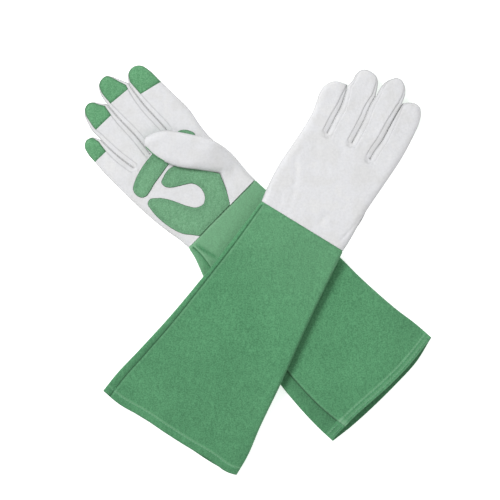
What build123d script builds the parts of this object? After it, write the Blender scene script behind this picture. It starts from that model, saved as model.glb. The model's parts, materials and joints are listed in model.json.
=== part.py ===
"""A pair of gauntlet gardening gloves: grain-leather hands, suede gauntlet cuffs and suede patches.

The right glove lies palm up on the ground. The left glove lies palm down across its cuff.
Both are the same pattern, mirrored, so one set of sizes serves both, and a Lay says how each one lies.
Each glove has its own hand frame: +X towards the fingertips, +Y towards the little finger, origin
at the wrist seam. Heights in it are measured from the middle of the glove's thickness to the palm.
Units are millimetres. The row frame has +Z up and its origin under the middle of the pair.
"""

import os
from dataclasses import dataclass, replace
from math import asin, cos, degrees, radians, sin

from build123d import *

# Leather and suede
SKIN = 1.2  # thickness of one layer
PATCH = 0.9  # thickness of a reinforcing patch
SEAM_GAP = 0.2  # between two layers that a seam joins
LAYER_GAP = 0.15  # between a layer and what is sewn on it
SHOULDER = 4.6  # radius where a layer turns down to its seam

# Hand, from the wrist seam
HALF_HAND = 6.0  # half the hand's thickness
HALF_WRIST = 49.5
HALF_PALM = 52.8  # at its middle
PALM_LENGTH = 94.0  # wrist seam to the middle of the finger roots
CROTCH = 4.0  # from the finger roots to the bottom of the slits between them
WRIST_GAP = 4.5  # from the wrist hinge to the leather on either side of it
OVERRUN = 12.0  # how far an outline runs past the end where it is then cut

# Fingers
HALF_FINGER = 5.5
KNUCKLE_GAP = 8.0  # from a finger hinge to the moving leather
STUB_GAP = 1.0  # from a finger hinge back to the fixed leather
TIP_ROUNDING = 0.44  # radius of a fingertip's corners, as a share of its width
GUSSET = 0.9  # thickness of the finger side gussets
GUSSET_HALF_HEIGHT = 4.2
GUSSET_DEPTH = 2.0  # from the bottom of a slit to the middle of its gusset

# Thumb, folded over the palm
HALF_THUMB = 5.5
THUMB_HEIGHT = 12.9  # middle of the thumb above the middle of the hand
THUMB_ROOT = (39.5, -39.0)  # middle of its open end, in the hand frame
THUMB_TURN = 34.0  # from the hand's direction towards the little finger
THUMB_CAP = 58.0  # from the root to the suede tip
THUMB_CORNER = 5.0  # radius at the corners of its outline

# Cuff
CUFF_LENGTH = 261.0
HEM = 12.0
SEAM_STRIP = 8.0
SEAM_STRIP_THICKNESS = 1.2
SEAM_STRIP_GAP = 0.45  # over the curved panel
SEAM_STRIP_START = 14.0  # behind the wrist, clear of the palm when the wrist bends


@dataclass
class Finger:
    """One finger of the pattern. Lengths run along the finger from its root, at PALM_LENGTH."""

    name: str
    root: float  # sideways place of its middle line at the root
    width: float  # at the hinge
    tip_width: float
    hinge: float
    length: float
    cap: float  # length of the suede tip


FINGERS = [
    Finger("little", 41.9, 22.4, 21.8, 16.0, 62.5, 23.0),
    Finger("ring", 16.3, 23.6, 23.2, 28.5, 89.0, 25.0),
    Finger("middle", -10.9, 25.0, 24.0, 31.0, 97.0, 26.0),
    Finger("index", -39.4, 26.2, 25.2, 22.5, 82.0, 27.0),
]


@dataclass
class Station:
    """A cross-section of a cuff, at a distance behind the wrist."""

    back: float
    half_width: float
    half_height: float
    middle: float
    shift: float = 0.0  # of its middle line, away from the thumb
    skew: float = 0.0  # turn in plan, in degrees


@dataclass
class Lay:
    """How one glove lies."""

    name: str
    wrist: tuple  # X, Y and the height of the middle of the hand
    hand_angle: float
    cuff_angle: float
    palm: int  # 1 where the palm faces up, -1 where it faces down
    splay: dict  # each finger's turn towards the little finger's side
    fingertip_height: float  # middle height of the fingertips
    stations: list  # the cuff's cross-sections, from the wrist to the mouth
    seam_inset: float  # from the cuff's edge to the middle of its side seam


RIGHT = Lay(
    name="right",
    wrist=(-39.4, 59.7, HALF_HAND),
    hand_angle=135.8,
    cuff_angle=132.9,
    palm=1,
    splay={"little": 0.4, "ring": -1.7, "middle": -4.2, "index": -4.5},
    fingertip_height=HALF_HAND,
    stations=[
        Station(WRIST_GAP, 49.5, 6.0, 6.0),
        Station(60.0, 57.0, 5.5, 5.55),
        Station(130.0, 65.0, 5.5, 5.55, shift=2.5),
        Station(178.0, 71.5, 5.8, 5.9, shift=4.5),
        Station(242.0, 75.5, 11.5, 11.8, shift=1.5, skew=4.0),
        Station(254.0, 76.0, 12.6, 12.6, shift=1.0, skew=4.0),
    ],
    seam_inset=13.0,
)

LEFT = Lay(
    name="left",
    wrist=(46.2, 47.4, 20.0),
    hand_angle=58.5,
    cuff_angle=57.7,
    palm=-1,
    splay={"little": 6.0, "ring": 5.8, "middle": 3.2, "index": 2.3},
    fingertip_height=7.0,
    stations=[
        Station(WRIST_GAP, 49.5, 6.0, 20.0),
        Station(75.0, 57.5, 5.6, 18.2),
        Station(150.0, 66.5, 5.6, 17.9),
        Station(205.0, 75.0, 5.6, 10.4),
        Station(CUFF_LENGTH - HEM, 83.5, 6.0, 6.3),
        Station(CUFF_LENGTH, 85.5, 6.3, 6.3),
    ],
    seam_inset=9.0,
)


# Frames


def direction(angle):
    """The unit vector at an angle in plan."""
    return Vector(cos(radians(angle)), sin(radians(angle)), 0)


def hand_plane(lay, height=0.0):
    """The plan plane of a hand at a height towards the palm. Its X points to the fingertips."""
    x, y, middle = lay.wrist
    return Plane(origin=(x, y, middle + lay.palm * height), x_dir=direction(lay.hand_angle), z_dir=(0, 0, 1))


def finger_root(lay, finger):
    """The plan plane of a finger's root, in line with the finger."""
    hand = hand_plane(lay)
    origin = hand.from_local_coords(Vector(PALM_LENGTH, finger.root, 0))
    return Plane(origin=origin, x_dir=direction(lay.hand_angle + lay.splay[finger.name]), z_dir=(0, 0, 1))


def droop(lay, finger):
    """How far a finger's moving part is pitched down from the hand, in degrees."""
    return degrees(asin((lay.wrist[2] - lay.fingertip_height) / (finger.length - finger.hinge)))


def finger_plane(lay, finger):
    """The plane of a finger's moving part, with its origin at the hinge, pitched down by its droop."""
    root = finger_root(lay, finger)
    hinge = Plane(origin=root.from_local_coords(Vector(finger.hinge, 0, 0)), x_dir=root.x_dir, z_dir=(0, 0, 1))
    return hinge.rotated((0, droop(lay, finger), 0))


def cuff_section(lay, station):
    """The cross-section plane of a cuff at a station. Its X points away from the thumb, and its Y up."""
    along, across = direction(lay.cuff_angle), direction(lay.cuff_angle + 90)
    middle = Vector(lay.wrist[0], lay.wrist[1], station.middle) - along * station.back + across * station.shift
    facing = lay.cuff_angle + station.skew
    return Plane(origin=middle, x_dir=direction(facing + 90), z_dir=direction(facing))


# Shells


def half_shell(plane, outline, half_height, side, start, stop=None):
    """Half a flattened leather tube: the outline raised to one side, shouldered and hollowed.

    It is cut open across the plane's X axis at start and, where it doesn't close by itself, at stop.
    """
    with BuildPart() as outer:
        with BuildSketch(Plane.XY.offset(side * SEAM_GAP / 2)):
            add(outline)
        extrude(amount=side * (half_height - SEAM_GAP / 2))
        fillet(outer.faces().sort_by(Axis.Z)[-1 if side > 0 else 0].edges(), SHOULDER)
    with BuildPart() as inner:
        with BuildSketch(Plane.XY.offset(-side * SKIN)):
            add(outline)
            offset(amount=-SKIN, kind=Kind.INTERSECTION)
        extrude(amount=side * half_height)
        fillet(inner.faces().sort_by(Axis.Z)[-1 if side > 0 else 0].edges(), SHOULDER - SKIN)
    with BuildPart() as shell:
        add(outer.part)
        add(inner.part, mode=Mode.SUBTRACT)
        split(bisect_by=Plane.YZ.offset(start), keep=Keep.TOP)
        if stop is not None:
            split(bisect_by=Plane.YZ.offset(stop), keep=Keep.BOTTOM)
    with BuildPart() as placed:
        with Locations(plane.location):
            add(shell.part)
    return placed.part


def channel(half_width, half_height, side, thickness):
    """The profile of half a cuff: a flat layer with both edges turned in to the seam line."""
    start = SEAM_GAP / 2
    bend = 0.7071  # cosine of half the turned-in quarter
    with BuildSketch() as profile:
        with BuildLine():
            lines = []
            for inset in (0.0, thickness):
                edge, height = half_width - inset, half_height - inset
                turn = height * 0.9
                right = ThreePointArc(
                    (edge, side * start),
                    (edge - turn * (1 - bend), side * height * bend),
                    (edge - turn, side * height),
                )
                left = ThreePointArc(
                    (turn - edge, side * height),
                    (turn * (1 - bend) - edge, side * height * bend),
                    (-edge, side * start),
                )
                Line(right @ 1, left @ 0)
                lines.append((right, left))
            Line(lines[0][0] @ 0, lines[1][0] @ 0)
            Line(lines[0][1] @ 1, lines[1][1] @ 1)
        make_face()
    return profile.sketch


def cuff_half(lay, stations, side, thickness):
    """Half of a cuff through the stations, on the upper (side 1) or the lower side (-1)."""
    with BuildPart() as half:
        for station in stations:
            with BuildSketch(cuff_section(lay, station)):
                add(channel(station.half_width, station.half_height, side, thickness))
        loft()
    return half.part


# Cuff pieces


def cuff_panel(lay, facing):
    """The suede panel on the palm side (facing 1) or the back (facing -1), as far as the hem."""
    return cuff_half(lay, lay.stations[:-1], lay.palm * facing, SKIN)


def cuff_hem(lay):
    """The folded hem round the cuff's mouth, as an upper and a lower band."""
    near, far = lay.stations[-2:]
    start = replace(near, back=near.back + SEAM_GAP)
    with BuildPart() as hem:
        for side in (1, -1):
            add(cuff_half(lay, [start, far], side, 2 * SKIN))
    return hem.part


def cuff_side_seam(lay):
    """The lapped seam that closes the cuff, a strip along its little-finger edge on the upper side."""
    with BuildPart() as strip:
        for station in lay.stations[:-1]:
            top = station.half_height + SEAM_STRIP_GAP + SEAM_STRIP_THICKNESS / 2
            with BuildSketch(cuff_section(lay, station)):
                with Locations((station.half_width - lay.seam_inset, top)):
                    Rectangle(SEAM_STRIP, SEAM_STRIP_THICKNESS)
        loft()
        start = replace(lay.stations[0], back=SEAM_STRIP_START)
        split(bisect_by=cuff_section(lay, start), keep=Keep.BOTTOM)
    return strip.part


# Hand pieces


def beside_finger(lay, finger, along, side, out=0.0):
    """The hand-frame point out from a finger's side, at a distance along it from its root."""
    turn = direction(lay.splay[finger.name])
    across = Vector(-turn.Y, turn.X, 0)
    return Vector(PALM_LENGTH, finger.root, 0) + turn * along + across * side * (finger.width / 2 + out)


def hand_outline(lay):
    """The palm with its four finger roots, running on past the wrist and the finger hinges."""
    points = [Vector(-OVERRUN, HALF_WRIST), Vector(0, HALF_WRIST), Vector(50, HALF_PALM)]
    for finger in FINGERS:
        if finger is not FINGERS[0]:
            points.append(beside_finger(lay, finger, CROTCH, 1))
        points.append(beside_finger(lay, finger, finger.hinge + OVERRUN, 1))
        points.append(beside_finger(lay, finger, finger.hinge + OVERRUN, -1))
        if finger is not FINGERS[-1]:
            points.append(beside_finger(lay, finger, CROTCH, -1))
    points += [Vector(50, 1.5 - HALF_PALM), Vector(0, -HALF_WRIST), Vector(-OVERRUN, -HALF_WRIST)]
    with BuildSketch() as outline:
        with BuildLine():
            Polyline(*points, close=True)
        make_face()
    return outline.sketch


def hand_panel(lay, facing):
    """The leather on the palm (facing 1) or the back (facing -1), as far as the finger hinges."""
    hand = hand_plane(lay)
    whole = half_shell(hand, hand_outline(lay), HALF_HAND, lay.palm * facing, WRIST_GAP)
    with BuildPart() as panel:
        add(whole)
        for finger in FINGERS:
            root = finger_root(lay, finger)
            end = root.from_local_coords(Vector(finger.hinge - STUB_GAP, 0, 0))
            with BuildSketch(Plane(origin=end, x_dir=root.z_dir, z_dir=root.x_dir)):
                Rectangle(4 * HALF_HAND, finger.width + 1)
            extrude(amount=2 * OVERRUN, mode=Mode.SUBTRACT)
    return panel.part


def knuckle_bar(lay):
    """The suede bar across the palm below the fingers."""
    with BuildPart() as bar:
        with BuildSketch(hand_plane(lay, HALF_HAND + LAYER_GAP)):
            with BuildLine():
                upper = ThreePointArc((85, 46), (96.5, 3), (91, -44))
                lower = ThreePointArc((72, -46), (75, 3), (67, 44))
                Line(upper @ 1, lower @ 0)
                Line(lower @ 1, upper @ 0)
            make_face()
        extrude(amount=lay.palm * PATCH)
    return bar.part


def horseshoe(lay):
    """The C-shaped suede patch round the hollow of the palm, from the thumb's root to the wrist seam."""
    with BuildPart() as patch:
        with BuildSketch(hand_plane(lay, HALF_HAND + LAYER_GAP)):
            with BuildLine():
                ThreePointArc((69, 20), (71.5, 8), (68, -5))
                Polyline((68, -5), (33, -27), (5.5, -11), (5.5, 35))
                ThreePointArc((5.5, 35), (25, 45), (58, 46))
                Polyline((58, 46), (64, 42), (58, 33.5))
                ThreePointArc((58, 33.5), (39, 22), (23, 8.5))
                ThreePointArc((23, 8.5), (24, -0.5), (33, -4.5))
                ThreePointArc((33, -4.5), (48, 3), (60, 20))
                Line((60, 20), (69, 20))
            make_face()
        extrude(amount=lay.palm * PATCH)
    return patch.part


def thumb_gusset(lay):
    """The leather between the palm and the root of the thumb."""
    with BuildPart() as gusset:
        with BuildSketch(hand_plane(lay, HALF_HAND + LAYER_GAP)):
            with BuildLine():
                Polyline((5.5, -15), (32, -30), (46, -46.5), (5.5, -46.5), close=True)
            make_face()
        extrude(amount=lay.palm * PATCH)
    return gusset.part


def fourchette(lay, finger, neighbour):
    """The side gusset between two fingers: a strip up one finger root, round the crotch and down the next."""
    inset = LAYER_GAP + GUSSET / 2
    start, end = finger.hinge - STUB_GAP, neighbour.hinge - STUB_GAP
    with BuildPart() as strip:
        with BuildSketch(hand_plane(lay, -GUSSET_HALF_HEIGHT * lay.palm)):
            with BuildLine():
                Polyline(
                    beside_finger(lay, finger, start, -1, inset),
                    beside_finger(lay, finger, CROTCH + GUSSET_DEPTH, -1, inset),
                    beside_finger(lay, neighbour, CROTCH + GUSSET_DEPTH, 1, inset),
                    beside_finger(lay, neighbour, end, 1, inset),
                )
            trace(line_width=GUSSET)
        extrude(amount=2 * GUSSET_HALF_HEIGHT)
    return strip.part


# Finger pieces


def finger_outline(finger):
    """A finger beyond its hinge, with a rounded tip, running back over the hinge."""
    start, tip = KNUCKLE_GAP - OVERRUN, finger.length - finger.hinge
    half_width, half_tip = finger.width / 2, finger.tip_width / 2
    with BuildSketch() as outline:
        with BuildLine():
            Polyline((start, -half_width), (tip, -half_tip), (tip, half_tip), (start, half_width), close=True)
        make_face()
        fillet(outline.vertices().sort_by(Axis.X)[-2:], TIP_ROUNDING * finger.tip_width)
    return outline.sketch


def finger_shell(lay, finger, facing, start, stop=None):
    """Half a finger's tube on the palm side (facing 1) or the back (facing -1)."""
    side = lay.palm * facing
    return half_shell(finger_plane(lay, finger), finger_outline(finger), HALF_FINGER, side, start, stop)


def finger_back(lay, finger):
    """The leather on the back of a finger."""
    return finger_shell(lay, finger, -1, KNUCKLE_GAP)


def finger_front(lay, finger):
    """The leather on the palm side of a finger, from the hinge to the suede tip."""
    return finger_shell(lay, finger, 1, KNUCKLE_GAP, finger.length - finger.hinge - finger.cap - SEAM_GAP / 2)


def finger_tip(lay, finger):
    """The suede over the palm side of a fingertip."""
    return finger_shell(lay, finger, 1, finger.length - finger.hinge - finger.cap + SEAM_GAP / 2)


# Thumb pieces


def thumb_plane(lay):
    """The plan plane at the middle of the thumb, in line with it, with its origin at the thumb's open root."""
    origin = hand_plane(lay, THUMB_HEIGHT).from_local_coords(Vector(*THUMB_ROOT, 0))
    return Plane(origin=origin, x_dir=direction(lay.hand_angle + THUMB_TURN), z_dir=(0, 0, 1))


def thumb_outline():
    """The folded thumb in its own frame, running back past its open root."""
    with BuildSketch() as outline:
        with BuildLine():
            Polyline(
                (-OVERRUN, 9.7),
                (0, 9.7),
                (20, 12.3),
                (46, 12.3),
                (82, 4),
                (86, -6),
                (78, -16),
                (62, -23),
                (20, -22),
                (0, -9.7),
                (-OVERRUN, -9.7),
                close=True,
            )
        make_face()
        fillet(outline.vertices(), THUMB_CORNER)
    return outline.sketch


def thumb_shell(lay, facing, start, stop=None):
    """Half the thumb's tube on its pad, which lies on the palm (facing -1), or on its back (facing 1)."""
    return half_shell(thumb_plane(lay), thumb_outline(), HALF_THUMB, lay.palm * facing, start, stop)


def thumb_back(lay):
    """The leather on the back of the thumb."""
    return thumb_shell(lay, 1, 0)


def thumb_front(lay):
    """The leather on the pad of the thumb, from its root to the suede tip."""
    return thumb_shell(lay, -1, 0, THUMB_CAP - SEAM_GAP / 2)


def thumb_tip(lay):
    """The suede over the pad of the thumb's tip."""
    return thumb_shell(lay, -1, THUMB_CAP + SEAM_GAP / 2)


def pieces(lay):
    """Every piece of one glove, by name."""
    made = {
        "cuff_palm_panel": cuff_panel(lay, 1),
        "cuff_back_panel": cuff_panel(lay, -1),
        "cuff_hem": cuff_hem(lay),
        "cuff_side_seam": cuff_side_seam(lay),
        "palm_panel": hand_panel(lay, 1),
        "back_panel": hand_panel(lay, -1),
        "knuckle_bar_patch": knuckle_bar(lay),
        "horseshoe_patch": horseshoe(lay),
        "thumb_gusset": thumb_gusset(lay),
        "thumb_back": thumb_back(lay),
        "thumb_front": thumb_front(lay),
        "thumb_tip_patch": thumb_tip(lay),
    }
    for finger, neighbour in zip(FINGERS, FINGERS[1:]):
        made[f"{finger.name}_{neighbour.name}_fourchette"] = fourchette(lay, finger, neighbour)
    for finger in FINGERS:
        made[f"{finger.name}_finger_back"] = finger_back(lay, finger)
        made[f"{finger.name}_finger_front"] = finger_front(lay, finger)
        made[f"{finger.name}_finger_tip_patch"] = finger_tip(lay, finger)
    return made


if __name__ == "__main__":
    os.makedirs("parts", exist_ok=True)
    for lay in (RIGHT, LEFT):
        for name, piece in pieces(lay).items():
            piece.label = f"{lay.name}_{name}"
            export_step(piece, f"parts/{piece.label}.step")
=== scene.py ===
"""A pair of gauntlet gardening gloves: the looks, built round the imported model.

Each glove has a hand frame in plan: u runs to the fingertips and v to the little finger, from the
wrist seam. The cuff has the distance behind the wrist seam, and the same v. Both are in
millimetres, like every size here, and Glove.point turns them into the row frame.
"""

import json
import math

import bpy
import numpy as np
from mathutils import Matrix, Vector, geometry


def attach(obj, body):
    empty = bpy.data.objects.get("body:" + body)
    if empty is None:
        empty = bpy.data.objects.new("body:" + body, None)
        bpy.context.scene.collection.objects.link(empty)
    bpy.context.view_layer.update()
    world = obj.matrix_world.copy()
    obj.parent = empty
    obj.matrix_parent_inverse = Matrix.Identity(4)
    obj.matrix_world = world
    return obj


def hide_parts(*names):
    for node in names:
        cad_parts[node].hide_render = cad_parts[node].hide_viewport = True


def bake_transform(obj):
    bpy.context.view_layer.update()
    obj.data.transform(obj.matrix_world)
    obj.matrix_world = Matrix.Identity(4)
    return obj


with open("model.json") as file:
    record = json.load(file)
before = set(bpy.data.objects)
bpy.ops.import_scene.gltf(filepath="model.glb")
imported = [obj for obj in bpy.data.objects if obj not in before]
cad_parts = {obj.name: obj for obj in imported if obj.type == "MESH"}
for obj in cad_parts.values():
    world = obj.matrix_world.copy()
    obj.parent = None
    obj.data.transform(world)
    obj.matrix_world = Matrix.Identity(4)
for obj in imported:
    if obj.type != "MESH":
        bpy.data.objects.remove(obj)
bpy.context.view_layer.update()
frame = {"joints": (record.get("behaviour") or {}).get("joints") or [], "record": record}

MM = 0.001
JOINTS = {joint["name"]: joint for joint in frame["joints"]}
MOUNTS = {mount["name"]: mount for mount in frame["record"]["mounts"]}
UP = np.array([0.0, 0.0, 1.0])

# Leather and suede
SKIN = 1.2  # thickness of one layer
PATCH = 0.9  # thickness of a sewn-on patch
SEWING = 2.6  # how far a patch's stitches are from its edge
HALF_HAND = 5.9
HALF_FINGER = 5.4
SHOULDER = 7.5  # how far from its edge a hand or finger is still rounding over
SLIT_SHOULDER = 5.5
SLIT = 0.05  # half the gap between two fingers
MEETING_LIFT = 3.6  # how far above their middle two fingers meet
GUSSET = 5.4  # how far a side gusset's seam is from the edge, before it narrows
KNUCKLE_BLEND = 9.0
GRID = 2.1  # spacing of a mesh's points away from its edges
EDGE_STEP = 1.1  # spacing along a patch's edge
CUT_STEP = 1.3  # spacing along a line where one piece ends and another starts
WRIST_STEP = 1.8

# Fingers, from the little one to the index
FINGERS = ("little", "ring", "middle", "index")
FINGER_CAPS = np.array([23.0, 25.0, 26.0, 29.0])  # lengths of the suede tips
CAP_SLANT = np.array([0.0, 0.0, 0.05, 0.14])
GUSSET_START = np.array([-8.0, -20.5, -23.0, -14.5])  # past the finger's hinge
TIP_HEIGHT = 7.0  # middle of the left glove's fingertips above the ground

# Thumb, folded over the palm
THUMB_MIDDLE = 12.9  # above the middle of the hand
HALF_THUMB = 5.4
THUMB_SPLIT = 15.5  # where the base, sewn to the wrist seam, becomes the thumb
THUMB_FREE = 52.0
THUMB_ROOT = np.array([39.5, -39.0])
THUMB_TURN = math.radians(34.0)
THUMB_CAP = 58.0
THUMB_RIM = 1.0  # how far the suede tip comes round the thumb's edge
THUMB_SIDE = -50.0  # v of the line that the thumb's leather turns along
THUMB_NARROWING = {"right": 1.0, "left": 0.945}
# how much darker each glove's leather is made all over
LEATHER_TONE = {"right": -0.08, "left": 0.0}

CUFF_LENGTH = 261.0
HEM_EDGE = 9.3  # the turned hem's stitched edge, from the cuff's end


# Camera: straight above, with a long lens

CAMERA_HEIGHT = 2.5
FIELD = 0.535
CENTRE = (-0.0086, 0.0216)

camera_data = bpy.data.cameras.new("camera")
camera_data.lens = camera_data.sensor_width * CAMERA_HEIGHT / FIELD
camera = bpy.data.objects.new("camera", camera_data)
camera.location = (*CENTRE, CAMERA_HEIGHT)
bpy.context.scene.collection.objects.link(camera)
bpy.context.scene.camera = camera


# Curves and distances in plan


def smoothstep(low, high, x):
    """0 before low, 1 after high, smooth between."""
    t = np.clip((np.asarray(x, float) - low) / (high - low), 0, 1)
    return t * t * (3 - 2 * t)


def bell(x, width):
    """1 at 0, falling away on both sides."""
    return np.exp(-((x / width) ** 2))


def rounded(distance_in, width, power=2.0):
    """The rise of a rounded edge: 0 at the edge, 1 from width inwards, squarer with more power."""
    t = np.clip(distance_in / width, 0, 1)
    return (1 - (1 - t) ** power) ** (1 / power)


def hermite(t, start, end, leaving, arriving, gap):
    """A cubic from start to end over a gap, with the slopes at its ends."""
    slopes = leaving * (t**3 - 2 * t**2 + t) + arriving * (t**3 - t**2)
    return start * (2 * t**3 - 3 * t**2 + 1) + end * (3 * t**2 - 2 * t**3) + slopes * gap


def curve(points, step=1.2, closed=False):
    """A smooth curve through points, as points a step apart."""
    knots = np.array(points, float)
    if closed:
        knots = np.vstack([knots[-1:], knots, knots[:2]])
    gaps = np.linalg.norm(np.diff(knots, axis=0), axis=1)[:, None]
    slopes = np.diff(knots, axis=0) / gaps
    inner = (slopes[:-1] * gaps[1:] + slopes[1:] * gaps[:-1]) / (gaps[:-1] + gaps[1:])
    tangents = np.vstack([slopes[:1], inner, slopes[-1:]])
    first, last = (1, len(knots) - 2) if closed else (0, len(knots) - 1)
    t = np.linspace(0, 1, 24, endpoint=False)[:, None]
    dense = [
        hermite(t, knots[i], knots[i + 1], tangents[i], tangents[i + 1], gaps[i])
        for i in range(first, last)
    ]
    return evenly(np.vstack([*dense, knots[last : last + 1]]), step)


def lengths_along(line):
    """Distance along a polyline at each of its points."""
    return np.concatenate([[0], np.cumsum(np.linalg.norm(np.diff(line, axis=0), axis=1))])


def points_at(places, lengths, line):
    """Points of a polyline at distances along it."""
    return np.stack([np.interp(places, lengths, line[:, i]) for i in range(line.shape[1])], axis=1)


def evenly(line, step):
    """A polyline's points, a step apart."""
    lengths = lengths_along(line)
    count = max(2, round(lengths[-1] / step) + 1)
    return points_at(np.linspace(0, lengths[-1], count), lengths, line)


def profile(knots, x):
    """A smooth function through (x, value) knots."""
    xs, ys = np.array(knots, float).T
    slopes = np.gradient(ys, xs)
    x = np.clip(x, xs[0], xs[-1])
    i = np.clip(np.searchsorted(xs, x, side="right") - 1, 0, len(xs) - 2)
    gap = xs[i + 1] - xs[i]
    return hermite((x - xs[i]) / gap, ys[i], ys[i + 1], slopes[i], slopes[i + 1], gap)


def side_normals(line):
    """Unit normals on the right of a polyline."""
    ahead = np.gradient(line, axis=0)
    ahead /= np.linalg.norm(ahead, axis=1)[:, None] + 1e-12
    return np.stack([ahead[:, 1], -ahead[:, 0]], axis=1)


def segments(line):
    """The starts and ends of a polyline's segments."""
    return line[:-1], line[1:]


def distance(points, starts, ends):
    """Distance from each point to the nearest of some segments."""
    nearest = np.full(len(points), 1e9)
    along = ends - starts
    square = (along**2).sum(1) + 1e-12
    for low in range(0, len(points), 2000):
        block = points[low : low + 2000, None] - starts
        t = np.clip((block * along).sum(2) / square, 0, 1)
        nearest[low : low + 2000] = np.sqrt(((block - t[..., None] * along) ** 2).sum(2).min(1))
    return nearest


def inside(points, outline):
    """Whether each point is inside a closed outline."""
    crossings = np.zeros(len(points), int)
    x, y = points.T
    for a, b in zip(outline, np.roll(outline, -1, axis=0)):
        if a[1] == b[1]:
            continue
        between = (y >= min(a[1], b[1])) & (y < max(a[1], b[1]))
        crossings += between & (x < a[0] + (y - a[1]) / (b[1] - a[1]) * (b[0] - a[0]))
    return crossings % 2 == 1


def ripple(x, y, size, seed, waves=7):
    """Gentle waves about a size long and 1 high."""
    draw = np.random.default_rng(seed)
    total = np.zeros(np.shape(x))
    for _ in range(waves):
        turn, phase = draw.uniform(0, math.pi), draw.uniform(0, 2 * math.pi)
        wave = 2 * math.pi / (size * draw.uniform(0.7, 1.6))
        total += np.sin((x * math.cos(turn) + y * math.sin(turn)) * wave + phase)
    return total / math.sqrt(waves)


def crease(points, line, depth, width):
    """A soft fold along a line, fading at its ends."""
    line = curve(line, 2.0)
    near = bell(distance(points, *segments(line)), width)
    ends = np.minimum(*(np.linalg.norm(points - line[i], axis=1) for i in (0, -1)))
    return depth * near * smoothstep(0, 9, ends)


class Spread:
    """Points kept apart from each other, for a triangulation."""

    CELL = 2

    def __init__(self):
        self.points, self.edges, self.cells = [], [], {}

    def clear(self, point, gap):
        """Whether no kept point is within a gap."""
        i, j = int(point[0] // self.CELL), int(point[1] // self.CELL)
        for cell in ((i + di, j + dj) for di in (-1, 0, 1) for dj in (-1, 0, 1)):
            for x, y in self.cells.get(cell, ()):
                if (x - point[0]) ** 2 + (y - point[1]) ** 2 < gap**2:
                    return False
        return True

    def keep(self, point):
        point = (float(point[0]), float(point[1]))
        cell = (int(point[0] // self.CELL), int(point[1] // self.CELL))
        self.cells.setdefault(cell, []).append(point)
        self.points.append(point)
        return len(self.points) - 1

    def scatter(self, points, gap):
        """Adds the points that are clear of those kept."""
        for point in points:
            if self.clear(point, gap):
                self.keep(point)

    def line(self, points, closed=False, gap=0.0):
        """Adds a line of points, joined by edges where they follow each other."""
        kept = [self.keep(p) for p in points if gap == 0 or self.clear(p, gap)]
        self.edges += list(zip(kept, kept[1:])) + ([(kept[-1], kept[0])] if closed else [])

    def cut(self, outline, first, last, step=CUT_STEP):
        """Adds a straight line between two points of the outline, and returns its inner points."""
        middle = evenly(outline[[first, last]], step)[1:-1]
        chain = [first, *(self.keep(p) for p in middle), last]
        self.edges += list(zip(chain, chain[1:]))
        return middle

    def rows(self, line, inward, rows, outline, edges, share=0.92, lined=None):
        """Scatters rows of points inside an outline: (depth, take every, gap)."""
        for deep, every, gap in rows:
            row = (line + inward * deep)[::every]
            row = row[inside(row, outline) & (distance(row, *edges) > share * deep)]
            if deep == lined:
                self.line(row, gap=gap)
            else:
                self.scatter(row, gap)

    def fill(self, outline, edges, margin=1.5):
        """Scatters a triangular grid inside an outline."""
        low, high = outline.min(0), outline.max(0)
        rows = np.arange(low[1], high[1], GRID * math.sin(math.radians(60)))
        columns = np.arange(low[0], high[0], GRID)
        grid = np.array([(x + GRID / 2 * (i % 2), y) for i, y in enumerate(rows) for x in columns])
        grid = grid[inside(grid, outline)]
        self.scatter(grid[distance(grid, *edges) > margin], 1.3)

    def triangles(self, outline):
        """The plan's points and its triangles inside an outline, turning left."""
        verts, _, faces, *_ = geometry.delaunay_2d_cdt(
            [Vector(p) for p in self.points], self.edges, [], 1, 1e-6, False
        )
        plan = np.array([tuple(v) for v in verts])
        faces = np.array([f for f in faces if len(f) == 3])
        (ax, ay), (bx, by), (cx, cy) = (plan[faces[:, i]].T for i in range(3))
        area = (bx - ax) * (cy - ay) - (by - ay) * (cx - ax)
        faces[area < 0] = faces[area < 0][:, ::-1]
        faces = faces[(abs(area) > 1e-9) & inside(plan[faces].mean(1), outline)]
        used, faces = np.unique(faces, return_inverse=True)
        return plan[used], faces.reshape(-1, 3)


# Meshes


def vertex_normals(points, faces):
    """Smooth normals of a mesh of triangles and quads."""
    normals = np.zeros_like(points)
    for corners in (3, 4):
        group = np.array([f for f in faces if len(f) == corners])
        if not len(group):
            continue
        p = points[group].transpose(1, 0, 2)
        across = p[2] - p[0]
        flat = np.cross(across, p[3] - p[1]) if corners == 4 else np.cross(p[1] - p[0], across)
        for i in range(corners):
            np.add.at(normals, group[:, i], flat)
    return normals / (np.linalg.norm(normals, axis=1)[:, None] + 1e-12)


def make_piece(name, points, faces, material, normals=None, painted_light_and_tone=None):
    """An object from points in the row frame, in millimetres. Values above 0 paint it paler and below 0
    darker, mostly painted light and shade.
    """
    faces = [list(f) for f in faces]
    used = sorted({i for f in faces for i in f})
    place = {old: new for new, old in enumerate(used)}
    mesh = bpy.data.meshes.new(name)
    mesh.from_pydata((points[used] * MM).tolist(), [], [[place[i] for i in f] for f in faces])
    mesh.polygons.foreach_set("use_smooth", [True] * len(mesh.polygons))
    values = np.zeros(len(used)) if painted_light_and_tone is None else painted_light_and_tone[used]
    for tone, sign in (("pale", 1), ("dark", -1)):
        attribute = mesh.attributes.new(tone, "FLOAT", "POINT")
        attribute.data.foreach_set("value", np.clip(sign * values, 0, 1).astype(np.float32))
    mesh.update()
    if normals is not None:
        mesh.normals_split_custom_set_from_vertices(normals[used].tolist())
    mesh.materials.append(material)
    piece = bpy.data.objects.new(name, mesh)
    bpy.context.scene.collection.objects.link(piece)
    return piece


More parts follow.
